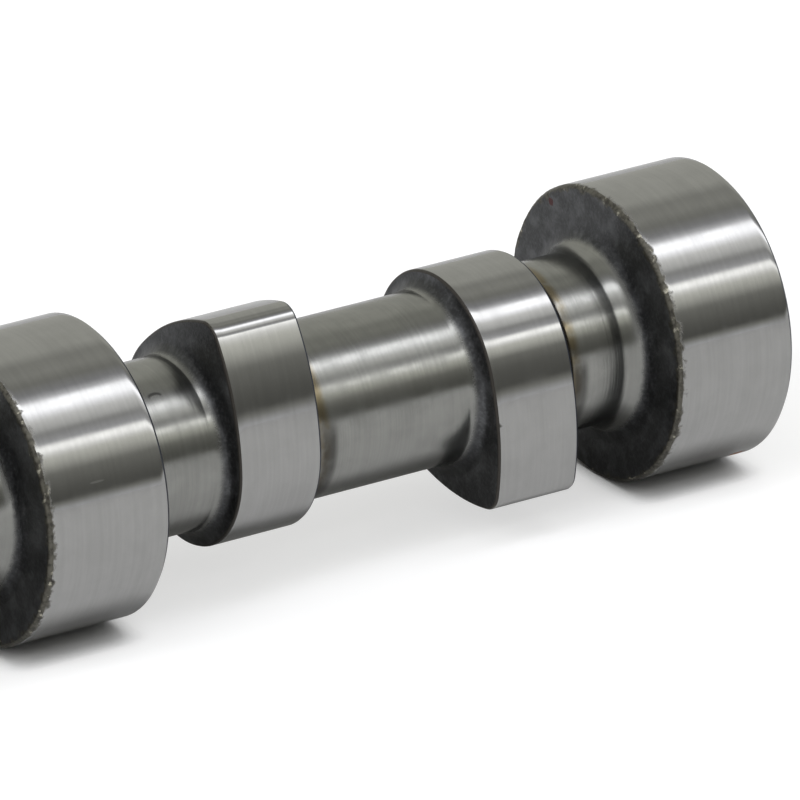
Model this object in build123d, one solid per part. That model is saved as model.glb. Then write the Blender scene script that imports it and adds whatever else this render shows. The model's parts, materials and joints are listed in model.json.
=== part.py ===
from build123d import *
import math
import os

# A camshaft for a four-cylinder engine, machined from one steel forging.
# X runs along the shaft from the drive end to the rear, and Z is up. The origin
# is the centre of the front bearing journal, on the shaft's axis.
# Lengths are in millimetres and angles in degrees.

os.makedirs("parts", exist_ok=True)

# Engine layout, with the cylinders numbered from the drive end
cylinder_pitch = 120.0
firing_order = (1, 3, 4, 2)
cylinder_count = len(firing_order)
cylinders = range(1, cylinder_count + 1)

# Bearing journals, one at each end and one between each two cylinders
journal_diameter = 50.0
journal_length = 22.5
journal_chamfer = 0.6
journal_fillet = 4.2

# Plain shaft between the journals and the lobes
shaft_diameter = 29.0

# Lobes: a base circle, two flank arcs and a nose arc, each tangent to the next
base_circle_diameter = 35.2
lobe_lift = 6.8
nose_radius = 4.2
flank_radius = 39.6
lobe_width = 15.5
lobe_chamfer = 0.4
lobe_fillet = 2.6

# A cylinder's two lobes, from middle to middle and from nose to nose, how far both
# sit to the rear of the bay's middle, and where the first cylinder's front nose
# points, measured from straight up towards -Y
lobe_spacing = 48.5
lobe_shift = 0.9
lobe_separation = 114.0
first_nose_angle = 200.6

# Drive end: the seat for the timing gear, the slot for its half-moon key, sunk by
# a disc cutter from the top, and its bolt hole
seat_diameter = 30.0
seat_length = 34.0
seat_chamfer = 1.5
seat_fillet = 1.0
key_slot_width = 6.0
key_slot_depth = 6.5
key_cutter_diameter = 22.0
key_from_thrust_face = 17.0
bolt_hole_diameter = 10.2
bolt_hole_depth = 28.0

# Lathe centres in both end faces: each drill, and how wide the cone round it is
centre_angle = 60.0
front_cone_width = 1.4
rear_cone_width = 3.0
rear_drill_diameter = 5.0
rear_drill_depth = 12.0

# How many straight steps round each corner between the shaft and a wider part,
# and the least flat that is left beside a corner
corner_steps = 3
least_land = 0.1

journal_radius = journal_diameter / 2
journal_side_radius = journal_radius - journal_chamfer
shaft_radius = shaft_diameter / 2
base_radius = base_circle_diameter / 2
seat_radius = seat_diameter / 2
thrust_face = -journal_length / 2
front_end = thrust_face - seat_length
rear_end = cylinder_count * cylinder_pitch + journal_length / 2


def lobe_start(cylinder, place):
    """Where a lobe's front side is: place is 0 for the front lobe and 1 for the rear one."""
    bay_middle = (cylinder - 0.5) * cylinder_pitch
    return bay_middle + lobe_shift + (place - 0.5) * lobe_spacing - lobe_width / 2


def nose_angle(cylinder, place):
    """Which way a lobe's nose points when the first cylinder's front nose is at its own angle."""
    turn = firing_order.index(cylinder) * 360.0 / cylinder_count
    return first_nose_angle + place * lobe_separation + turn


def corner_radius(wanted, top_radius):
    """A corner's radius, limited by the side above the shaft and by half the gap beside it."""
    between_lobes = lobe_spacing - lobe_width
    beside_journal = (cylinder_pitch - journal_length - lobe_spacing - lobe_width) / 2 - abs(lobe_shift)
    room = min(between_lobes, beside_journal) / 2
    return min(wanted, top_radius - shaft_radius - least_land, room - least_land)


def corner_down(station, radius, foot_radius):
    """Section points round a corner, from a rear-facing side at x = station down to its foot."""
    turns = [math.radians(90 * step / corner_steps) for step in range(corner_steps + 1)]
    return [(station + radius * (1 - math.cos(turn)), foot_radius + radius * (1 - math.sin(turn)))
            for turn in turns]


def corner_up(station, radius, foot_radius):
    """Section points round a corner, from its foot up to a front-facing side at x = station."""
    falling = corner_down(-station, radius, foot_radius)
    return [(-x, y) for x, y in reversed(falling)]


def journal_section(number):
    """The chamfered outer line of a journal's section, with the front journal as number 0."""
    start = number * cylinder_pitch - journal_length / 2
    end = start + journal_length
    return [(start, journal_side_radius), (start + journal_chamfer, journal_radius),
            (end - journal_chamfer, journal_radius), (end, journal_side_radius)]


def bay_section(cylinder):
    """The section from one journal to the next: the shaft, with a core inside each lobe."""
    journal_corner = corner_radius(journal_fillet, journal_side_radius)
    lobe_corner = corner_radius(lobe_fillet, base_radius - lobe_chamfer)
    front_journal_end = (cylinder - 1) * cylinder_pitch + journal_length / 2
    rear_journal_start = cylinder * cylinder_pitch - journal_length / 2
    points = corner_down(front_journal_end, journal_corner, shaft_radius)
    for place in (0, 1):
        start = lobe_start(cylinder, place)
        points += corner_up(start, lobe_corner, shaft_radius)
        points += corner_down(start + lobe_width, lobe_corner, shaft_radius)
    return points + corner_up(rear_journal_start, journal_corner, shaft_radius)


def turned_body():
    """The seat, the journals and the plain shaft, turned from one half section."""
    seat_corner = min(seat_fillet, journal_side_radius - seat_radius - least_land)
    outline = [(front_end, 0), (front_end, seat_radius - seat_chamfer),
               (front_end + seat_chamfer, seat_radius)]
    outline += corner_up(thrust_face, seat_corner, seat_radius)
    outline += journal_section(0)
    for cylinder in cylinders:
        outline += bay_section(cylinder) + journal_section(cylinder)
    outline.append((rear_end, 0))
    return revolve(make_face(Polyline(*outline, close=True)), Axis.X)


def lobe_profile():
    """The outline of a lobe about the shaft's axis, with its nose along the sketch's X."""
    nose_centre = base_radius + lobe_lift - nose_radius
    to_base = flank_radius - base_radius
    to_nose = flank_radius - nose_radius
    flank_x = (to_base ** 2 - to_nose ** 2 + nose_centre ** 2) / (2 * nose_centre)
    flank_y = math.sqrt(to_base ** 2 - flank_x ** 2)
    nose_half = math.degrees(math.atan2(flank_y, nose_centre - flank_x))
    flank_half = math.degrees(math.atan2(flank_y, -flank_x))
    sweep = flank_half - nose_half
    return make_face([
        CenterArc((nose_centre, 0), nose_radius, -nose_half, 2 * nose_half),
        CenterArc((flank_x, -flank_y), flank_radius, nose_half, sweep),
        CenterArc((0, 0), base_radius, flank_half, 360 - 2 * flank_half),
        CenterArc((flank_x, flank_y), flank_radius, -flank_half, sweep),
    ])


def lobe(start, angle):
    """One lobe, with both of its rims chamfered."""
    turn = math.radians(angle)
    nose = (0, -math.sin(turn), math.cos(turn))
    side = Plane(origin=(start, 0, 0), x_dir=nose, z_dir=(1, 0, 0)) * lobe_profile()
    blank = extrude(side, lobe_width)
    rims = blank.faces().filter_by(Axis.X).edges()
    return chamfer(rims, lobe_chamfer)


def centred_hole(drill_diameter, drill_depth, cone_width):
    """A drilled hole with a lathe centre's cone at its mouth, going down from the plane z = 0."""
    from_top = (Align.CENTER, Align.CENTER, Align.MAX)
    drill_radius = drill_diameter / 2
    cone_depth = cone_width / math.tan(math.radians(centre_angle / 2))
    drill = Cylinder(drill_radius, drill_depth, align=from_top)
    return drill + Cone(drill_radius, drill_radius + cone_width, cone_depth, align=from_top)


def key_slot():
    """The disc that is milled out of the top of the seat for the timing gear's key."""
    station = thrust_face - key_from_thrust_face
    height = seat_radius - key_slot_depth + key_cutter_diameter / 2
    return Pos(station, 0, height) * Rot(90, 0, 0) * Cylinder(key_cutter_diameter / 2, key_slot_width)


camshaft = turned_body()
for cylinder in cylinders:
    for place in (0, 1):
        camshaft += lobe(lobe_start(cylinder, place), nose_angle(cylinder, place))

front_face = Plane(origin=(front_end, 0, 0), z_dir=(-1, 0, 0))
rear_face = Plane(origin=(rear_end, 0, 0), z_dir=(1, 0, 0))
camshaft -= front_face * centred_hole(bolt_hole_diameter, bolt_hole_depth, front_cone_width)
camshaft -= rear_face * centred_hole(rear_drill_diameter, rear_drill_depth, rear_cone_width)
camshaft -= key_slot()

export_step(camshaft, "parts/camshaft.step")
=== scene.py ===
import bpy
import bmesh
import json
import math
from mathutils import Matrix, Vector, noise


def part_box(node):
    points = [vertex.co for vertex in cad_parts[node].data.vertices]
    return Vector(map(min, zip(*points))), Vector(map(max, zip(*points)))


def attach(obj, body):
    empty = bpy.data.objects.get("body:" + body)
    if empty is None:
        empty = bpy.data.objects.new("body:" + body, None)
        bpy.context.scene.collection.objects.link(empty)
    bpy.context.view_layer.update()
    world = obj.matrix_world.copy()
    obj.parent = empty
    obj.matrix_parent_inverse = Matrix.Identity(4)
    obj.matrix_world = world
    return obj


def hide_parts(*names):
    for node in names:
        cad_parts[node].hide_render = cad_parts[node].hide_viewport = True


# A one-piece steel camshaft lying on a pale floor, its rear bay towards the camera.
# Lengths in the dictionaries are millimetres, unless a line says metres, and angles are degrees.

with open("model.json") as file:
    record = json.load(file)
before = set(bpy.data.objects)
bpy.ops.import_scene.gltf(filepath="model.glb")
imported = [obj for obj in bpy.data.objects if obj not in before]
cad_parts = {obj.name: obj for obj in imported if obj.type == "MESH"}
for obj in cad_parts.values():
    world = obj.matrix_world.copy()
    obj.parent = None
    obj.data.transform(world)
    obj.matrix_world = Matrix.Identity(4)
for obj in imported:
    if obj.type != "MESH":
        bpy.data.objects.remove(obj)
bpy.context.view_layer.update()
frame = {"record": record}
mounts = {mount["name"]: mount for mount in frame["record"]["mounts"]}
mm = 0.001
print("frame loaded")


# Camera, as the photograph was taken: from the front left and a little above

cameraView = {
    "target": (445.23, 22.2, -14.3),
    "azimuth": 33.1,
    "elevation": 23.4,
    "distance": 1985.0,
    "lens": 541.9,
    "sensor": 36.0,
    "clipStart": 50.0,
    "clipEnd": 50000.0,
}


def addCamera():
    azimuth = math.radians(cameraView["azimuth"])
    elevation = math.radians(cameraView["elevation"])
    towards = Vector((-math.sin(azimuth) * math.cos(elevation),
                      -math.cos(azimuth) * math.cos(elevation),
                      math.sin(elevation)))
    data = bpy.data.cameras.new("camera")
    data.type = "PERSP"
    data.sensor_width = cameraView["sensor"]
    data.lens = cameraView["lens"]
    data.clip_start = cameraView["clipStart"] * mm
    data.clip_end = cameraView["clipEnd"] * mm
    camera = bpy.data.objects.new("camera", data)
    camera.location = (Vector(cameraView["target"]) + towards * cameraView["distance"]) * mm
    camera.rotation_euler = towards.to_track_quat("Z", "Y").to_euler()
    bpy.context.scene.collection.objects.link(camera)
    bpy.context.scene.camera = camera


addCamera()
print("camera placed")


# Sizes of the shaft's turned forms

shaftForm = {
    "girthSteps": 240,
    "shaftRadius": 14.5,
    "journalChamfer": 0.6,
    "journalCorner": 4.2,
    "lobeCorner": 2.6,
    "cornerSteps": 8,
    "seatChamfer": 1.5,
    "seatCorner": 1.0,
    "frontConeWidth": 1.4,
    "rearConeWidth": 3.0,
    "rearDrillRadius": 2.5,
    "rearDrillDepth": 12.0,
    "centreAngle": 60.0,
    "keyCutterRadius": 11.0,
    "keyCutterSteps": 96,
    "keyWidth": 6.0,
    "bandLoop": 0.8,        # a loop this far from each rim keeps a journal's band flat behind the wear
    "seatLand": 0.5,        # how far the seat corner's stretch runs on past the corner
    "cornerTilt": 0.02,     # a face that leans along the shaft by more than this is a corner's
    "weld": 0.002,          # points closer together than this become one
}

# The lobes: a base circle, two flank arcs and a nose arc, each tangent to the next
lobeForm = {
    "baseRadius": 17.6,
    "lift": 6.8,
    "noseRadius": 4.2,
    "flankRadius": 39.6,
    "width": 15.5,
    "band": 1.6,            # a loop this far from the front rim keeps the face flat behind a nick
    "rim": 0.4,
    "rimSteps": 2,
    "spacing": 48.5,
    "shift": 0.9,
    "separation": 114.0,
    "firstNose": 200.6,
    "firingOrder": (1, 3, 4, 2),
    "flankSteps": 38,
    "noseSteps": 16,
    "weld": 0.001,
}

journals = [mounts[name] for name in sorted(mounts) if name.startswith("journal_")]
journalStations = [journal["pos_m"][0] / mm for journal in journals]
journalRadius = journals[0]["dims"]["r_mm"]
journalHalf = journals[0]["dims"]["length_mm"] / 2 + shaftForm["journalChamfer"]
journalSide = journalRadius - shaftForm["journalChamfer"]
cylinderPitch = journalStations[1] - journalStations[0]
cylinders = range(1, len(journals))
thrustFace = journalStations[0] - journalHalf
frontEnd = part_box("camshaft")[0].x / mm
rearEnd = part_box("camshaft")[1].x / mm
lobeSide = shaftForm["shaftRadius"] + shaftForm["lobeCorner"]


def lobeStart(cylinder, place):
    # where a lobe's front side is: place is 0 for a bay's front lobe and 1 for its rear one
    middle = (cylinder - 0.5) * cylinderPitch + lobeForm["shift"]
    return middle + (place - 0.5) * lobeForm["spacing"] - lobeForm["width"] / 2


def noseAngle(cylinder, place):
    # which way a lobe's nose points, from straight up towards -Y
    turn = lobeForm["firingOrder"].index(cylinder) * 360 / len(lobeForm["firingOrder"])
    return lobeForm["firstNose"] + place * lobeForm["separation"] + turn


# The rear sides of a bay's two lobes, each measured from the nearest journal's middle
lobeRears = [lobeStart(1, place) + lobeForm["width"] - place * cylinderPitch for place in (0, 1)]

# A point farther than this from the nearest journal's middle is past that journal's corners
lobesFrom = cylinderPitch / 6


# Shader node helpers

def addNode(tree, kind, **values):
    # adds a node, to the right of the last one, and sets its plain properties
    node = tree.nodes.new(kind)
    node.location = (180 * len(tree.nodes), 0)
    for name, value in values.items():
        setattr(node, name, value)
    return node


def feed(tree, socket, value):
    # a socket takes another socket or a plain value
    if isinstance(value, bpy.types.NodeSocket):
        tree.links.new(value, socket)
    else:
        socket.default_value = value


def calc(tree, operation, *values):
    node = addNode(tree, "ShaderNodeMath", operation=operation)
    for socket, value in zip(node.inputs, values):
        feed(tree, socket, value)
    return node.outputs["Value"]


def fade(tree, value, low, high, start=0.0, end=1.0):
    # a smooth change from start to end while the value goes from low to high
    node = addNode(tree, "ShaderNodeMapRange", interpolation_type="SMOOTHSTEP")
    for name, item in (("Value", value), ("From Min", low), ("From Max", high), ("To Min", start),
                       ("To Max", end)):
        feed(tree, node.inputs[name], item)
    return node.outputs["Result"]


def blendColor(tree, mask, first, second):
    # the Mix node's color sockets are its inputs 6 and 7 and its output 2
    node = addNode(tree, "ShaderNodeMix", data_type="RGBA")
    feed(tree, node.inputs[0], mask)
    feed(tree, node.inputs[6], first)
    feed(tree, node.inputs[7], second)
    return node.outputs[2]


def plainColor(red, green, blue):
    return (red, green, blue, 1.0)


def newMaterial(name):
    material = bpy.data.materials.new(name)
    material.use_nodes = True
    tree = material.node_tree
    tree.nodes.clear()
    output = addNode(tree, "ShaderNodeOutputMaterial")
    shader = addNode(tree, "ShaderNodeBsdfPrincipled")
    tree.links.new(shader.outputs["BSDF"], output.inputs["Surface"])
    return material, tree, shader


def socketKind(label):
    return "NodeSocketColor" if label.endswith("Color") else "NodeSocketFloat"


def newGroup(name, inputs, outputs):
    tree = bpy.data.node_groups.new(name, "ShaderNodeTree")
    for label, value in inputs.items():
        socket = tree.interface.new_socket(name=label, in_out="INPUT", socket_type=socketKind(label))
        socket.default_value = value
    for label in outputs:
        tree.interface.new_socket(name=label, in_out="OUTPUT", socket_type=socketKind(label))
    return tree, addNode(tree, "NodeGroupInput").outputs, addNode(tree, "NodeGroupOutput").inputs


def useGroup(tree, name, **values):
    node = addNode(tree, "ShaderNodeGroup", node_tree=bpy.data.node_groups[name])
    for label, value in values.items():
        feed(tree, node.inputs[label], value)
    return node.outputs


def objectPoint(tree):
    # the point on the surface, in millimetres
    coordinates = addNode(tree, "ShaderNodeTexCoord")
    scale = addNode(tree, "ShaderNodeVectorMath", operation="SCALE")
    tree.links.new(coordinates.outputs["Object"], scale.inputs[0])
    scale.inputs["Scale"].default_value = 1 / mm
    return scale.outputs["Vector"]


def noiseAt(tree, vector, scale, detail=2.0, roughness=0.55):
    node = addNode(tree, "ShaderNodeTexNoise")
    tree.links.new(vector, node.inputs["Vector"])
    feed(tree, node.inputs["Scale"], scale)
    node.inputs["Detail"].default_value = detail
    node.inputs["Roughness"].default_value = roughness
    return node.outputs["Fac"]


# Shared effects on steel

effectLook = {
    "girthScale": 0.05,     # how fast machining lines change across the shaft, for each millimetre
    "linesFrom": 0.3,
    "linesTo": 0.7,
    "frayScale": 1.6,
    "markCore": 0.6,        # the inner part of a mark, and of a band of oil and of painted shade, that covers in full
    "oilAndShadeCore": 0.3,
    "wearEdge": 0.8,        # how wide the edge is over which the wear of a rim begins
}

# Soft patches: how large they are, and the levels of the noise between which they appear
patchLooks = {
    "steelCloud": {"Size": 5.0},
    "oilAndShadeGaps": {"Size": 4.0, "Low": 0.3, "High": 0.6},
    "rimFringe": {"Size": 1.7, "Low": 0.25, "High": 0.75},
    "rimGrit": {"Size": 0.8, "Low": 0.35, "High": 0.75},
    "paintedRimGlints": {"Size": 1.4, "Low": 0.6, "High": 0.72},
    "sideCloud": {"Size": 3.0, "Low": 0.4, "High": 0.75},
    "sideGrit": {"Size": 0.5, "Low": 0.45, "High": 0.7},
    "cornerFray": {"Size": 1.2},
    "cornerGrit": {"Size": 0.7},
}


def patchMask(tree, name):
    return useGroup(tree, "surfacePatches", **patchLooks[name])["Mask"]


def addPlaceGroup():
    # where a point is on the shaft: how far out, how far along, how far from the nearest
    # journal's middle and how high above the axis
    tree, given, result = newGroup("shaftPlace", {}, ("Radius", "Station", "Along", "Height"))
    split = addNode(tree, "ShaderNodeSeparateXYZ")
    tree.links.new(objectPoint(tree), split.inputs[0])
    x, y, z = split.outputs
    squares = calc(tree, "ADD", calc(tree, "MULTIPLY", y, y), calc(tree, "MULTIPLY", z, z))
    feed(tree, result["Radius"], calc(tree, "SQRT", squares))
    feed(tree, result["Station"], x)
    feed(tree, result["Along"], calc(tree, "WRAP", x, cylinderPitch / 2, -cylinderPitch / 2))
    feed(tree, result["Height"], z)


def addLinesGroup():
    # fine lines that a wheel or a cutting tool leaves round the shaft
    tree, given, result = newGroup("machiningLines", {"Station": 0.0, "Density": 1.5}, ("Lines",))
    split = addNode(tree, "ShaderNodeSeparateXYZ")
    tree.links.new(objectPoint(tree), split.inputs[0])
    join = addNode(tree, "ShaderNodeCombineXYZ")
    feed(tree, join.inputs["X"], calc(tree, "MULTIPLY", given["Station"], given["Density"]))
    for axis in ("Y", "Z"):
        slowed = calc(tree, "MULTIPLY", split.outputs[axis], effectLook["girthScale"])
        feed(tree, join.inputs[axis], slowed)
    lines = noiseAt(tree, join.outputs["Vector"], 1.0, detail=3.0, roughness=0.6)
    feed(tree, result["Lines"], fade(tree, lines, effectLook["linesFrom"], effectLook["linesTo"]))


def addPatchesGroup():
    # soft cloudy patches, a few millimetres across
    tree, given, result = newGroup("surfacePatches", {"Size": 3.0, "Low": 0.35, "High": 0.65}, ("Mask",))
    cloud = noiseAt(tree, objectPoint(tree), calc(tree, "DIVIDE", 1.0, given["Size"]), detail=3.0)
    feed(tree, result["Mask"], fade(tree, cloud, given["Low"], given["High"]))


def addMarkGroup():
    # one mark with a frayed edge at a point on the surface
    inputs = {"X": 0.0, "Y": 0.0, "Z": 0.0, "Width": 1.0, "Length": 1.0, "Fray": 0.5}
    tree, given, result = newGroup("surfaceMark", inputs, ("Mask",))
    split = addNode(tree, "ShaderNodeSeparateXYZ")
    point = objectPoint(tree)
    tree.links.new(point, split.inputs[0])
    squares = 0.0
    for axis, size in (("X", "Length"), ("Y", "Width"), ("Z", "Width")):
        offset = calc(tree, "SUBTRACT", split.outputs[axis], given[axis])
        share = calc(tree, "DIVIDE", offset, given[size])
        squares = calc(tree, "ADD", squares, calc(tree, "MULTIPLY", share, share))
    uneven = calc(tree, "SUBTRACT", noiseAt(tree, point, effectLook["frayScale"]), 0.5)
    frayed = calc(tree, "MULTIPLY", uneven, given["Fray"])
    reach = calc(tree, "ADD", calc(tree, "SQRT", squares), frayed)
    feed(tree, result["Mask"], fade(tree, reach, 1.0, effectLook["markCore"]))


def addSteelGroup():
    # bare steel, shaded by its lines and by soft patches
    inputs = {"Color": plainColor(0.3, 0.3, 0.3), "Station": 0.0, "Density": 1.5, "LineShade": 0.1,
              "PatchShade": 0.1, "Roughness": 0.15, "RoughnessChange": 0.05}
    tree, given, result = newGroup("machinedSteel", inputs, ("Color", "Roughness", "Lines"))
    lines = useGroup(tree, "machiningLines", Station=given["Station"], Density=given["Density"])["Lines"]
    patches = patchMask(tree, "steelCloud")
    level = 1.0
    for mask, shade in ((lines, "LineShade"), (patches, "PatchShade")):
        change = calc(tree, "MULTIPLY", calc(tree, "SUBTRACT", 0.5, mask), given[shade])
        level = calc(tree, "ADD", level, change)
    scale = addNode(tree, "ShaderNodeVectorMath", operation="SCALE")
    feed(tree, scale.inputs[0], given["Color"])
    feed(tree, scale.inputs["Scale"], level)
    feed(tree, result["Color"], scale.outputs["Vector"])
    rougher = calc(tree, "MULTIPLY", patches, given["RoughnessChange"])
    feed(tree, result["Roughness"], calc(tree, "ADD", given["Roughness"], rougher))
    feed(tree, result["Lines"], lines)


def addOilAndShadeGroup():
    # a band round the shaft, so far behind each lobe, for a film of old oil and for a strip of painted
    # shade: the wholer, the fewer gaps it has
    inputs = {"Along": 0.0, "Behind": 2.0, "Width": 2.0, "Strength": 0.5, "Whole": 0.3}
    tree, given, result = newGroup("oilAndShadeBand", inputs, ("Mask",))
    narrow = calc(tree, "MULTIPLY", given["Width"], effectLook["oilAndShadeCore"])
    film = 0.0
    for rear in lobeRears:
        behind = calc(tree, "SUBTRACT", given["Along"], rear)
        distance = calc(tree, "ABSOLUTE", calc(tree, "SUBTRACT", behind, given["Behind"]))
        film = calc(tree, "ADD", film, fade(tree, distance, given["Width"], narrow))
    broken = fade(tree, patchMask(tree, "oilAndShadeGaps"), 0.0, 1.0, given["Whole"], 1.0)
    cover = calc(tree, "MULTIPLY", film, broken)
    feed(tree, result["Mask"], calc(tree, "MULTIPLY", cover, given["Strength"]))


def addSpecksGroup():
    # brown and dark specks, as on a chipped rim, and a few bright specks of painted glint
    inputs = {"Color": plainColor(0.1, 0.1, 0.1), "DarkColor": plainColor(0.02, 0.02, 0.02),
              "PaintedGlintColor": plainColor(0.5, 0.5, 0.5)}
    tree, given, result = newGroup("rimSpecks", inputs, ("Color", "Grit"))
    grit = patchMask(tree, "rimGrit")
    color = blendColor(tree, grit, given["Color"], given["DarkColor"])
    color = blendColor(tree, patchMask(tree, "paintedRimGlints"), color, given["PaintedGlintColor"])
    feed(tree, result["Color"], color)
    feed(tree, result["Grit"], grit)


def addRimWearGroup():
    # the ragged band of wear on both sides of a journal's front rim
    tree, given, result = newGroup("rimWear", {"Radius": 0.0, "Along": 0.0, "Fringe": 1.0}, ("Mask",))
    fringe = calc(tree, "MULTIPLY", patchMask(tree, "rimFringe"), given["Fringe"])
    reach = calc(tree, "ADD", fringe, shaftForm["journalChamfer"])
    onto = calc(tree, "ABSOLUTE", calc(tree, "ADD", given["Along"], journalHalf))
    below = calc(tree, "ABSOLUTE", calc(tree, "SUBTRACT", journalRadius, given["Radius"]))
    inside = calc(tree, "SUBTRACT", reach, calc(tree, "MAXIMUM", onto, below))
    feed(tree, result["Mask"], fade(tree, inside, 0.0, effectLook["wearEdge"]))


def addEffects():
    addPlaceGroup()
    addLinesGroup()
    addPatchesGroup()
    addMarkGroup()
    addSteelGroup()
    addOilAndShadeGroup()
    addSpecksGroup()
    addRimWearGroup()


addEffects()
print("steel effects built")


# Steel, ground on the journals and lobes, turned between them and dark on the sides

groundLook = {
    "Color": plainColor(0.35, 0.35, 0.343),
    "LineShade": 0.06,
    "PatchShade": 0.05,
    "Roughness": 0.075,
    "RoughnessChange": 0.05,
    "Density": 1.4,
}

turnedLook = {
    "Color": plainColor(0.27, 0.272, 0.258),
    "LineShade": 0.09,
    "PatchShade": 0.1,
    "Roughness": 0.16,
    "RoughnessChange": 0.07,
    "Density": 3.2,
}

lineDepth = {"ground": 0.0008, "turned": 0.004}

sideLook = {
    "color": plainColor(0.055, 0.056, 0.058),
    "paleColor": plainColor(0.16, 0.165, 0.172),
    "spotColor": plainColor(0.075, 0.028, 0.028),
    "cloudShade": 0.5,
    "gritShade": 0.3,
    "roughness": 0.3,
    "gritRoughness": 0.15,
    "metal": 0.92,
    "journalDark": (0.68, 0.88),    # how far a corner has to lean along the shaft to begin to turn
    "lobeDark": (0.15, 0.67),       # dark, and to be dark
    "fray": 0.03,
    "gritHeight": 3.0,              # to a machining line's height of 1
}

# the glint colour is a painted highlight on the rim
rimSpecks = {
    "Color": plainColor(0.115, 0.11, 0.09),
    "DarkColor": plainColor(0.036, 0.033, 0.028),
    "PaintedGlintColor": plainColor(0.46, 0.44, 0.36),
}

rimLook = {
    "lobeColor": plainColor(0.045, 0.041, 0.036),
    "rearColor": plainColor(0.035, 0.04, 0.055),
    "roughness": 0.42,
    "metal": 0.6,
    "depth": 0.03,
    "fringe": 1.3,          # how far from a journal's front rim its side and its band are worn
    "inset": (0.15, 0.05),  # a rim nearer to the axis than a journal's side by this is a lobe's
}

# What wear and rust add to the roughness of ground steel, and what they take from its metal
wornLook = {"rougher": 0.4, "lessMetal": 0.7}

# Old oil lies in the rear corners of a bay's two lobes. Below it, on the lower half, a dark strip
# of painted shade stands in for the dark that the low corner mirrors; it sets in as the surface
# falls from the first to the second height above the axis
oilLook = {"Behind": 2.2, "Width": 2.1, "Strength": 0.8, "Whole": 0.33}
oilColor = plainColor(0.17, 0.135, 0.07)
paintedShadeStripLook = {"Behind": 3.5, "Width": 2.1, "Strength": 0.8, "Whole": 0.85}
paintedShadeColor = plainColor(0.05, 0.048, 0.045)
paintedShadeHeight = (5.0, 1.0)

rustColor = plainColor(0.35, 0.12, 0.03)
scratchColor = plainColor(0.6, 0.6, 0.6)
scratchStrength = 0.6
# the dent is only painted: its upper wall is a dark crescent of painted shade
dentShadeColor = plainColor(0.05, 0.05, 0.05)
dentShadeStrength = 0.75

marks = {
    "sideSpot": {"X": 468.7, "Y": 12.9, "Z": 19.0, "Width": 0.85, "Length": 1.0, "Fray": 0.8},
    "rustSpot": {"X": 487.8, "Y": -13.7, "Z": -20.9, "Width": 1.7, "Length": 1.6, "Fray": 1.2},
    "dent": {"X": 379.4, "Y": -7.1, "Z": 12.6, "Width": 0.8, "Length": 1.5, "Fray": 0.15},
    "dentFloor": {"X": 379.4, "Y": -7.5, "Z": 12.35, "Width": 0.72, "Length": 1.35, "Fray": 0.15},
    "scratch": {"X": 358.5, "Y": -23.45, "Z": 8.73, "Width": 0.25, "Length": 1.6, "Fray": 0.3},
}


def bump(tree, shader, height, depth):
    node = addNode(tree, "ShaderNodeBump")
    feed(tree, node.inputs["Height"], height)
    node.inputs["Strength"].default_value = 1.0
    node.inputs["Distance"].default_value = depth * mm
    tree.links.new(node.outputs["Normal"], shader.inputs["Normal"])


def faceTurn(tree):
    # -1 where a face looks to the shaft's front end, 0 round its girth and 1 where it looks to the rear
    split = addNode(tree, "ShaderNodeSeparateXYZ")
    tree.links.new(addNode(tree, "ShaderNodeTexCoord").outputs["Normal"], split.inputs[0])
    return split.outputs["X"]


def finish(tree, shader, color, rough, metal):
    feed(tree, shader.inputs["Base Color"], color)
    feed(tree, shader.inputs["Roughness"], rough)
    feed(tree, shader.inputs["Metallic"], metal)


def markMask(tree, name):
    return useGroup(tree, "surfaceMark", **marks[name])["Mask"]


def rimWorn(tree, place):
    # how worn a point on a journal or its front side is
    return useGroup(tree, "rimWear", Radius=place["Radius"], Along=place["Along"],
                    Fringe=rimLook["fringe"])["Mask"]


def oiledAndShaded(tree, place, color):
    # a brown film of oil in the lobes' rear corners, and a strip of painted shade on the lower half
    film = useGroup(tree, "oilAndShadeBand", Along=place["Along"], **oilLook)["Mask"]
    paintedShadeStrip = useGroup(tree, "oilAndShadeBand", Along=place["Along"], **paintedShadeStripLook)["Mask"]
    low = fade(tree, place["Height"], *paintedShadeHeight)
    color = blendColor(tree, film, color, oilColor)
    return blendColor(tree, calc(tree, "MULTIPLY", paintedShadeStrip, low), color, paintedShadeColor)


def groundSteel():
    # bright, with worn front rims on the journals
    material, tree, shader = newMaterial("groundSteel")
    place = useGroup(tree, "shaftPlace")
    steel = useGroup(tree, "machinedSteel", Station=place["Station"], **groundLook)
    worn = rimWorn(tree, place)
    scratch = calc(tree, "MULTIPLY", markMask(tree, "scratch"), scratchStrength)
    rust = markMask(tree, "rustSpot")
    color = blendColor(tree, worn, steel["Color"], useGroup(tree, "rimSpecks", **rimSpecks)["Color"])
    color = blendColor(tree, scratch, color, scratchColor)
    color = blendColor(tree, rust, color, rustColor)
    dull = calc(tree, "MAXIMUM", worn, rust)
    rough = calc(tree, "ADD", steel["Roughness"], calc(tree, "MULTIPLY", dull, wornLook["rougher"]))
    metal = calc(tree, "SUBTRACT", 1.0, calc(tree, "MULTIPLY", dull, wornLook["lessMetal"]))
    finish(tree, shader, color, rough, metal)
    bump(tree, shader, steel["Lines"], lineDepth["ground"])
    return material


def turnedSteel(name, across):
    # plain turned surfaces, with lines along the shaft or out from its middle
    material, tree, shader = newMaterial(name)
    place = useGroup(tree, "shaftPlace")
    steel = useGroup(tree, "machinedSteel", Station=place[across], **turnedLook)
    # a dark crescent of painted shade on the upper wall of a small dent
    around = calc(tree, "SUBTRACT", 1.0, markMask(tree, "dentFloor"))
    shadedCrescent = calc(tree, "MULTIPLY", markMask(tree, "dent"), around)
    color = blendColor(tree, calc(tree, "MULTIPLY", shadedCrescent, dentShadeStrength), steel["Color"], dentShadeColor)
    color = oiledAndShaded(tree, place, color)
    finish(tree, shader, color, steel["Roughness"], 1.0)
    bump(tree, shader, steel["Lines"], lineDepth["turned"])
    return material


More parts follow.
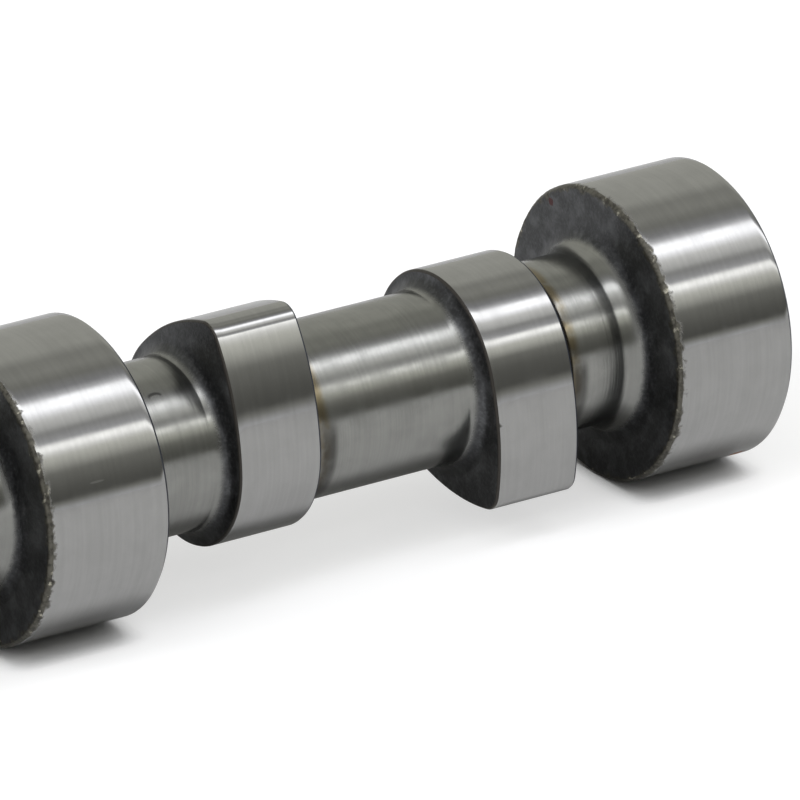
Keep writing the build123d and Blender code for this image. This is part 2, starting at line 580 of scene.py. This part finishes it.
def darkSide(tree):
    # the unground sides: dark, with pale clouds and fine grit
    grit = patchMask(tree, "sideGrit")
    clouds = calc(tree, "MULTIPLY", patchMask(tree, "sideCloud"), sideLook["cloudShade"])
    pale = calc(tree, "ADD", clouds, calc(tree, "MULTIPLY", grit, sideLook["gritShade"]))
    color = blendColor(tree, pale, sideLook["color"], sideLook["paleColor"])
    color = blendColor(tree, markMask(tree, "sideSpot"), color, sideLook["spotColor"])
    rougher = calc(tree, "MULTIPLY", grit, sideLook["gritRoughness"])
    return color, calc(tree, "ADD", sideLook["roughness"], rougher)


def sideSteel():
    # bright at the shaft, and dark where the corner climbs up a side
    material, tree, shader = newMaterial("sideSteel")
    place = useGroup(tree, "shaftPlace")
    across = calc(tree, "ADD", place["Station"], place["Radius"])
    steel = useGroup(tree, "machinedSteel", Station=across, **turnedLook)
    color = oiledAndShaded(tree, place, steel["Color"])
    side, sideRough = darkSide(tree)
    frayed = calc(tree, "MULTIPLY", patchMask(tree, "cornerFray"), sideLook["fray"])
    slope = calc(tree, "ADD", calc(tree, "ABSOLUTE", faceTurn(tree)), frayed)
    onLobe = calc(tree, "GREATER_THAN", calc(tree, "ABSOLUTE", place["Along"]), lobesFrom)
    journalDark = fade(tree, slope, *sideLook["journalDark"])
    lobeDark = fade(tree, slope, *sideLook["lobeDark"])
    dark = fade(tree, onLobe, 0.0, 1.0, journalDark, lobeDark)
    color = blendColor(tree, dark, color, side)
    worn = rimWorn(tree, place)
    color = blendColor(tree, worn, color, useGroup(tree, "rimSpecks", **rimSpecks)["Color"])
    rough = fade(tree, dark, 0.0, 1.0, steel["Roughness"], sideRough)
    metal = fade(tree, dark, 0.0, 1.0, 1.0, sideLook["metal"])
    finish(tree, shader, color, rough, metal)
    height = calc(tree, "MULTIPLY", dark, sideLook["gritHeight"])
    gritty = calc(tree, "MULTIPLY", patchMask(tree, "cornerGrit"), height)
    bump(tree, shader, calc(tree, "ADD", gritty, steel["Lines"]), lineDepth["turned"])
    return material


def rimSteel():
    # the journals' front rims are speckled, and every other rim is a thin dark line
    material, tree, shader = newMaterial("rimSteel")
    place = useGroup(tree, "shaftPlace")
    specks = useGroup(tree, "rimSpecks", **rimSpecks)
    onJournal = fade(tree, place["Radius"], *[journalSide - inset for inset in rimLook["inset"]])
    onRear = calc(tree, "GREATER_THAN", faceTurn(tree), 0.0)
    color = blendColor(tree, onJournal, rimLook["lobeColor"], specks["Color"])
    color = blendColor(tree, onRear, color, rimLook["rearColor"])
    finish(tree, shader, color, rimLook["roughness"], rimLook["metal"])
    bump(tree, shader, specks["Grit"], rimLook["depth"])
    return material


def addSteels():
    return {
        "groundSteel": groundSteel(),
        "turnedSteel": turnedSteel("turnedSteel", "Station"),
        "facedSteel": turnedSteel("facedSteel", "Radius"),
        "sideSteel": sideSteel(),
        "rimSteel": rimSteel(),
    }


steels = addSteels()
slotNames = list(steels)
print("steels made")


# The shaft's surfaces, each turned as a stretch of its own and then joined

def spinRound(bm, geometry):
    bmesh.ops.spin(bm, geom=geometry, cent=(0, 0, 0), axis=(1, 0, 0), dvec=(0, 0, 0), angle=2 * math.pi,
                   steps=shaftForm["girthSteps"], use_merge=True, use_duplicate=False)


def paint(faces, name):
    for face in faces:
        face.material_index = slotNames.index(name)


def meshFrom(bm, name):
    mesh = bpy.data.meshes.new(name)
    bm.to_mesh(mesh)
    bm.free()
    return mesh


def turned(name, steel, outline, corners=None):
    # draws half a section as (station, radius) points, rounds the numbered ones and turns it
    # round the shaft's axis
    bm = bmesh.new()
    points = [bm.verts.new((station * mm, 0, radius * mm)) for station, radius in outline]
    for start, end in zip(points, points[1:]):
        bm.edges.new((start, end))
    for number, radius in (corners or {}).items():
        bmesh.ops.bevel(bm, geom=[points[number]], offset=radius * mm, offset_type="OFFSET",
                        segments=shaftForm["cornerSteps"], profile=0.5, affect="VERTICES",
                        clamp_overlap=False, material=-1)
    spinRound(bm, bm.verts[:] + bm.edges[:])
    paint(bm.faces, steel)
    if corners:
        for face in bm.faces:
            face.normal_update()
        leaning = [face for face in bm.faces if abs(face.normal.x) > shaftForm["cornerTilt"]]
        paint(leaning, "sideSteel")
    return meshFrom(bm, name)


def stretch(name, start, end, startTop, endTop, startCorner, endCorner):
    # the shaft from one side to the next, with a corner at both ends
    low = shaftForm["shaftRadius"]
    outline = [(start, startTop), (start, low), (end, low), (end, endTop)]
    return turned(name, "turnedSteel", outline, {1: startCorner, 2: endCorner})


def journalParts():
    # a journal's ground band, with a chamfer at both rims, about its own middle
    chamfer = shaftForm["journalChamfer"]
    inner = journalHalf - chamfer
    flat = inner - shaftForm["bandLoop"]
    outline = [(station, journalRadius) for station in (-inner, -flat, flat, inner)]
    parts = [turned("band", "groundSteel", outline)]
    for sign in (-1, 1):
        parts.append(turned("rim", "rimSteel", [(sign * journalHalf, journalSide),
                                                (sign * (journalHalf - chamfer / 2),
                                                 journalRadius - chamfer / 2),
                                                (sign * inner, journalRadius)]))
    return parts


def frontEndParts():
    seat = mounts["gear_seat"]["dims"]["r_mm"]
    bore = mounts["gear_bolt"]["dims"]["r_mm"]
    cone = shaftForm["frontConeWidth"]
    coneDepth = cone / math.tan(math.radians(shaftForm["centreAngle"] / 2))
    boreEnd = frontEnd + coneDepth + mounts["gear_bolt"]["dims"]["length_mm"]
    chamfer = shaftForm["seatChamfer"]
    corner = shaftForm["seatCorner"]
    land = corner + shaftForm["seatLand"]
    seatEnd = thrustFace - land
    return [
        turned("boltHole", "turnedSteel", [(boreEnd, 0), (boreEnd, bore), (frontEnd + coneDepth, bore),
                                           (frontEnd, bore + cone)]),
        turned("frontFace", "facedSteel", [(frontEnd, bore + cone), (frontEnd, seat - chamfer),
                                           (frontEnd + chamfer, seat)]),
        turned("gearSeat", "groundSteel", [(frontEnd + chamfer, seat), (seatEnd, seat)]),
        turned("seatCorner", "turnedSteel", [(seatEnd, seat), (thrustFace, seat),
                                             (thrustFace, seat + land)], {1: corner}),
        turned("thrustFace", "facedSteel", [(thrustFace, seat + land), (thrustFace, journalSide)]),
    ]


def rearEndParts():
    drill = shaftForm["rearDrillRadius"]
    cone = shaftForm["rearConeWidth"]
    coneDepth = cone / math.tan(math.radians(shaftForm["centreAngle"] / 2))
    drillEnd = rearEnd - shaftForm["rearDrillDepth"]
    return [turned("rearFace", "facedSteel", [(rearEnd, journalSide), (rearEnd, drill + cone),
                                              (rearEnd - coneDepth, drill), (drillEnd, drill),
                                              (drillEnd, 0)])]


def drawLobe(bm, angle):
    # sweeps one vertex round the base circle, a flank, the nose and the other flank
    base = lobeForm["baseRadius"]
    nose = lobeForm["noseRadius"]
    flank = lobeForm["flankRadius"]
    noseCentre = base + lobeForm["lift"] - nose
    flankX = ((flank - base) ** 2 - (flank - nose) ** 2 + noseCentre ** 2) / (2 * noseCentre)
    flankY = math.sqrt((flank - base) ** 2 - flankX ** 2)
    noseHalf = math.atan2(flankY, noseCentre - flankX)
    baseHalf = math.atan2(flankY, -flankX)
    baseSteps = shaftForm["girthSteps"] - 2 * lobeForm["flankSteps"] - lobeForm["noseSteps"]
    sweeps = [((0, 0), 2 * math.pi - 2 * baseHalf, baseSteps),
              ((flankY, flankX), baseHalf - noseHalf, lobeForm["flankSteps"]),
              ((0, noseCentre), 2 * noseHalf, lobeForm["noseSteps"]),
              ((-flankY, flankX), baseHalf - noseHalf, lobeForm["flankSteps"])]
    last = [bm.verts.new((0, base * math.sin(baseHalf) * mm, base * math.cos(baseHalf) * mm))]
    for (y, z), sweep, steps in sweeps:
        last = bmesh.ops.spin(bm, geom=last[:1], cent=(0, y * mm, z * mm), axis=(-1, 0, 0),
                              dvec=(0, 0, 0), angle=sweep, steps=steps, use_merge=False,
                              use_duplicate=False)["geom_last"]
    bmesh.ops.remove_doubles(bm, verts=bm.verts, dist=lobeForm["weld"] * mm)
    turn = Matrix.Rotation(math.radians(angle), 3, "X")
    bmesh.ops.rotate(bm, verts=bm.verts, cent=(0, 0, 0), matrix=turn)
    return bm.edges[:]


def drawRing(bm, station):
    # the open ring where a lobe's side meets the corner below it
    known = set(bm.edges)
    start = bm.verts.new((station * mm, 0, lobeSide * mm))
    spinRound(bm, [start])
    return [edge for edge in bm.edges if edge not in known]


def lobeMesh(angle):
    width = lobeForm["width"]
    bm = bmesh.new()
    frontRims = drawLobe(bm, angle)
    rearRims = frontRims
    for step in (lobeForm["band"], width - lobeForm["band"]):
        grown = bmesh.ops.extrude_edge_only(bm, edges=rearRims)["geom"]
        movers = [item for item in grown if isinstance(item, bmesh.types.BMVert)]
        rearRims = [item for item in grown if isinstance(item, bmesh.types.BMEdge) and item.is_boundary]
        bmesh.ops.translate(bm, verts=movers, vec=(step * mm, 0, 0))
    paint(bm.faces, "groundSteel")
    ring = drawRing(bm, 0)
    front = bmesh.ops.bridge_loops(bm, edges=frontRims + ring)["faces"]
    ring = drawRing(bm, width)
    rear = bmesh.ops.bridge_loops(bm, edges=rearRims + ring)["faces"]
    paint(front + rear, "sideSteel")
    rounded = bmesh.ops.bevel(bm, geom=frontRims + rearRims, offset=lobeForm["rim"] * mm,
                              offset_type="OFFSET", segments=lobeForm["rimSteps"], profile=0.5,
                              affect="EDGES", clamp_overlap=True, material=-1)
    paint(rounded["faces"], "rimSteel")
    return meshFrom(bm, "lobe")


def join(bm, meshes, station=0.0):
    # adds copies of built stretches to the shaft, moved along it
    for mesh in meshes:
        moved = mesh.copy()
        moved.transform(Matrix.Translation((station * mm, 0, 0)))
        bm.from_mesh(moved)
        bpy.data.meshes.remove(moved)


def bayParts():
    # one bay's plain shaft, between the journal in front of it, its two lobes and the next journal
    width = lobeForm["width"]
    first = lobeStart(1, 0)
    second = lobeStart(1, 1)
    journalCorner = shaftForm["journalCorner"]
    lobeCorner = shaftForm["lobeCorner"]
    return [
        stretch("frontShaft", journalHalf, first, journalSide, lobeSide, journalCorner, lobeCorner),
        stretch("midShaft", first + width, second, lobeSide, lobeSide, lobeCorner, lobeCorner),
        stretch("rearShaft", second + width, cylinderPitch - journalHalf, lobeSide, journalSide,
                lobeCorner, journalCorner),
    ]


# Wear: the journals' front rims are ragged, and a lobe's edge has a nick

wear = {
    "rimAlong": 0.18,
    "rimDeep": 0.05,
    "rimSide": 0.14,
    "grain": 1.3,
    "tolerance": 0.01,      # how near to a rim's edge a point has to be to lie on it
    "nick": (437.6, -18.6, -1.7),
    "nickRadius": 1.0,
    "nickDepth": 0.45,
    "nickSlant": 0.6,       # how far the metal gives way along the shaft, to 1 towards the axis
}


def wearRims(bm):
    inner = journalHalf - shaftForm["journalChamfer"]
    close = wear["tolerance"]
    for vert in bm.verts:
        point = vert.co / mm
        radius = math.hypot(point.y, point.z)
        nearest = min(journalStations, key=lambda station: abs(point.x - station))
        along = point.x - nearest
        ragged = noise.noise(point / wear["grain"])
        if abs(along + inner) < close and abs(radius - journalRadius) < close:
            vert.co.x += abs(ragged) * wear["rimAlong"] * mm
            shrink = 1 - abs(ragged) * wear["rimDeep"] / radius
            vert.co.y *= shrink
            vert.co.z *= shrink
        elif abs(along + journalHalf) < close and abs(radius - journalSide) < close:
            grow = 1 + ragged * wear["rimSide"] / radius
            vert.co.y *= grow
            vert.co.z *= grow


def cutNick(bm):
    centre = Vector(wear["nick"]) * mm
    for vert in bm.verts:
        near = 1 - (vert.co - centre).length / (wear["nickRadius"] * mm)
        if near > 0:
            slant = wear["nickSlant"] * math.hypot(vert.co.y, vert.co.z)
            inward = Vector((slant, -vert.co.y, -vert.co.z))
            vert.co += inward.normalized() * near * wear["nickDepth"] * mm


def cutKeySlot(shaft):
    key = mounts["gear_key"]["pos_m"]
    bm = bmesh.new()
    radius = shaftForm["keyCutterRadius"] * mm
    turn = Matrix.Rotation(math.radians(90), 4, "X")
    place = Matrix.Translation((key[0], key[1], key[2] + radius))
    bmesh.ops.create_cone(bm, cap_ends=True, segments=shaftForm["keyCutterSteps"], radius1=radius,
                          radius2=radius, depth=shaftForm["keyWidth"] * mm, matrix=place @ turn)
    cutter = bpy.data.objects.new("keyCutter", meshFrom(bm, "keyCutter"))
    cutter.data.materials.append(steels["turnedSteel"])
    bpy.context.scene.collection.objects.link(cutter)
    modifier = shaft.modifiers.new("keySlot", "BOOLEAN")
    modifier.object = cutter
    modifier.operation = "DIFFERENCE"
    modifier.solver = "EXACT"
    modifier.material_mode = "TRANSFER"
    applyModifiers(shaft)
    bpy.data.objects.remove(cutter)


def applyModifiers(piece):
    # puts the finished mesh in place of the modifiers
    graph = bpy.context.evaluated_depsgraph_get()
    done = bpy.data.meshes.new_from_object(piece.evaluated_get(graph), depsgraph=graph)
    piece.modifiers.clear()
    piece.data = done


def buildShaft():
    bm = bmesh.new()
    join(bm, frontEndParts() + rearEndParts())
    band = journalParts()
    for station in journalStations:
        join(bm, band, station)
    bay = bayParts()
    for cylinder in cylinders:
        join(bm, bay, journalStations[cylinder - 1])
        for place in (0, 1):
            join(bm, [lobeMesh(noseAngle(cylinder, place))], lobeStart(cylinder, place))
    print("stretches joined")
    bmesh.ops.remove_doubles(bm, verts=bm.verts, dist=shaftForm["weld"] * mm)
    wearRims(bm)
    cutNick(bm)
    bmesh.ops.recalc_face_normals(bm, faces=bm.faces)
    for face in bm.faces:
        face.smooth = True
    print("faces", len(bm.faces), "open edges", sum(1 for edge in bm.edges if not edge.is_manifold))
    mesh = meshFrom(bm, "camshaftSteel")
    for steel in steels.values():
        mesh.materials.append(steel)
    shaft = bpy.data.objects.new("camshaftSteel", mesh)
    bpy.context.scene.collection.objects.link(shaft)
    print("skin closed")
    cutKeySlot(shaft)
    print("key slot cut")
    weighted = shaft.modifiers.new("weightedNormals", "WEIGHTED_NORMAL")
    weighted.keep_sharp = True
    applyModifiers(shaft)
    print("triangles", sum(len(polygon.vertices) - 2 for polygon in shaft.data.polygons))
    return shaft


shaft = buildShaft()
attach(shaft, "root")
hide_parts("camshaft")
print("shaft built")


# Floor and soft studio light

floorLook = {
    "size": 12.0,                   # metres
    "color": (0.5, 0.5, 0.505),
    "roughness": 0.9,
    "cameraGlow": 0.56,             # added to the light on the floor, so that the camera sees white
    "nearGlow": 0.27,               # painted light: only the steel sees this glow in the floor, dimmer beyond the shaft as painted shade
    "farGlow": 0.1,
    "shadowFrom": 11.0,             # the painted shadow in the mirrored floor fades out between these, from the shaft's line
    "shadowTo": 21.0,
    "shadowShift": (-2.0, 3.0),     # the painted shadow is wider by a journal and narrower between
    "contactReach": 5.5,            # how near the steel has to be to darken the floor
    "contactSamples": 4,
    "contact": (0.35, 0.85),
}

# What the steel mirrors round its girth: the angle climbs from the viewer's horizon over the
# top to the far horizon, and each step is an angle, a brightness and a tint
warm = (1.0, 1.0, 0.92)
plain = (1.0, 1.0, 0.985)
cool = (0.98, 0.985, 1.02)
studioSteps = [
    (-8, 0.90, cool), (0, 0.88, cool), (4, 0.40, warm), (7, 0.15, warm), (15, 0.21, warm),
    (27, 0.34, warm), (31, 0.65, warm), (34, 0.88, warm), (39, 1.15, warm), (42, 1.70, plain),
    (44, 2.55, plain), (47, 2.55, plain), (49.5, 0.75, cool), (57, 0.50, plain), (61, 0.95, plain),
    (68, 1.35, plain), (72, 2.20, cool), (75, 3.00, cool), (81, 3.00, cool), (84, 1.10, cool),
    (89, 0.48, cool), (98, 0.37, warm), (107, 0.50, warm), (118, 0.46, warm), (128, 0.66, warm),
    (150, 0.64, warm), (172, 0.56, warm), (180, 0.56, warm),
]
studio = {
    "brightest": 3.0,
    "endLevel": 0.45,                       # beyond the shaft's front end the studio is dimmer
    "endFade": (-0.8, -0.5),                # so far along the shaft a direction has to point for that
    "lampPlace": (-1.13, -0.34, 1.15),      # metres
    "lampAim": (0.4, 0.0, 0.0),             # metres
    "lampSize": 1.2,                        # metres
    "lampPower": 18.0,                      # watts
}


def addFloor():
    bm = bmesh.new()
    bmesh.ops.create_grid(bm, x_segments=1, y_segments=1, size=floorLook["size"] / 2)
    bmesh.ops.translate(bm, verts=bm.verts, vec=(0, 0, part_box("camshaft")[0].z))
    floor = bpy.data.objects.new("floor", meshFrom(bm, "floor"))
    bpy.context.scene.collection.objects.link(floor)
    material, tree, shader = newMaterial("paleFloor")
    finish(tree, shader, plainColor(*floorLook["color"]), floorLook["roughness"], 0.0)
    shader.inputs["Specular IOR Level"].default_value = 0.0
    # the floor shows white, darkened by ambient occlusion where the journals touch it; the glow that the
    # steel mirrors is painted light, with a painted shadow under the shaft
    path = addNode(tree, "ShaderNodeLightPath")
    split = addNode(tree, "ShaderNodeSeparateXYZ")
    tree.links.new(objectPoint(tree), split.inputs[0])
    beside = calc(tree, "ABSOLUTE", split.outputs["Y"])
    along = calc(tree, "ABSOLUTE", useGroup(tree, "shaftPlace")["Along"])
    shift = fade(tree, along, journalHalf, 2 * journalHalf, *floorLook["shadowShift"])
    clear = fade(tree, calc(tree, "ADD", beside, shift), floorLook["shadowFrom"], floorLook["shadowTo"])
    openness = addNode(tree, "ShaderNodeAmbientOcclusion", samples=floorLook["contactSamples"])
    openness.inputs["Distance"].default_value = floorLook["contactReach"] * mm
    untouched = fade(tree, openness.outputs["AO"], *floorLook["contact"])
    seen = calc(tree, "MULTIPLY", calc(tree, "MULTIPLY", path.outputs["Is Camera Ray"], untouched),
                floorLook["cameraGlow"])
    onward = calc(tree, "MAXIMUM", path.outputs["Is Glossy Ray"], path.outputs["Is Transmission Ray"])
    mirrored = calc(tree, "MULTIPLY", onward, fade(tree, split.outputs["Y"], 0.0, floorLook["shadowTo"],
                                                   floorLook["nearGlow"], floorLook["farGlow"]))
    glow = calc(tree, "ADD", seen, calc(tree, "MULTIPLY", mirrored, clear))
    shader.inputs["Emission Color"].default_value = plainColor(1.0, 1.0, 1.0)
    feed(tree, shader.inputs["Emission Strength"], glow)
    floor.data.materials.append(material)


def addLamp():
    data = bpy.data.lights.new("softLamp", "AREA")
    data.shape = "DISK"
    data.size = studio["lampSize"]
    data.energy = studio["lampPower"]
    lamp = bpy.data.objects.new("softLamp", data)
    lamp.location = studio["lampPlace"]
    aim = Vector(studio["lampPlace"]) - Vector(studio["lampAim"])
    lamp.rotation_euler = aim.to_track_quat("Z", "Y").to_euler()
    lamp.visible_glossy = False
    bpy.context.scene.collection.objects.link(lamp)


def addWorld():
    world = bpy.data.worlds.new("studio")
    bpy.context.scene.world = world
    world.use_nodes = True
    tree = world.node_tree
    tree.nodes.clear()
    output = addNode(tree, "ShaderNodeOutputWorld")
    direction = addNode(tree, "ShaderNodeTexCoord")
    split = addNode(tree, "ShaderNodeSeparateXYZ")
    tree.links.new(direction.outputs["Generated"], split.inputs[0])
    x, y, z = split.outputs
    angle = calc(tree, "ARCTAN2", z, calc(tree, "MULTIPLY", y, -1.0))
    share = calc(tree, "ADD", calc(tree, "DIVIDE", angle, 2 * math.pi), 0.5)
    ramp = addNode(tree, "ShaderNodeValToRGB")
    tree.links.new(share, ramp.inputs["Fac"])
    elements = ramp.color_ramp.elements
    elements.remove(elements[1])
    elements[0].position = studioSteps[0][0] / 360 + 0.5
    for degrees, level, tint in studioSteps[1:]:
        elements.new(degrees / 360 + 0.5)
    for element, (degrees, level, tint) in zip(elements, studioSteps):
        element.color = plainColor(*[channel * level / studio["brightest"] for channel in tint])
    toEnd = fade(tree, x, *studio["endFade"])
    dim = studio["endLevel"] / studio["brightest"]
    lit = blendColor(tree, toEnd, plainColor(dim, dim, dim), ramp.outputs["Color"])
    mirrored = addNode(tree, "ShaderNodeBackground")
    tree.links.new(lit, mirrored.inputs["Color"])
    mirrored.inputs["Strength"].default_value = studio["brightest"]
    seen = addNode(tree, "ShaderNodeBackground")
    seen.inputs["Color"].default_value = plainColor(1.0, 1.0, 1.0)
    path = addNode(tree, "ShaderNodeLightPath")
    mix = addNode(tree, "ShaderNodeMixShader")
    straight = calc(tree, "MAXIMUM", path.outputs["Is Camera Ray"], path.outputs["Is Transmission Ray"])
    feed(tree, mix.inputs[0], straight)
    tree.links.new(mirrored.outputs[0], mix.inputs[1])
    tree.links.new(seen.outputs[0], mix.inputs[2])
    tree.links.new(mix.outputs[0], output.inputs["Surface"])


addFloor()
addLamp()
addWorld()
bpy.context.scene.view_settings.view_transform = "Standard"
print("studio lit")
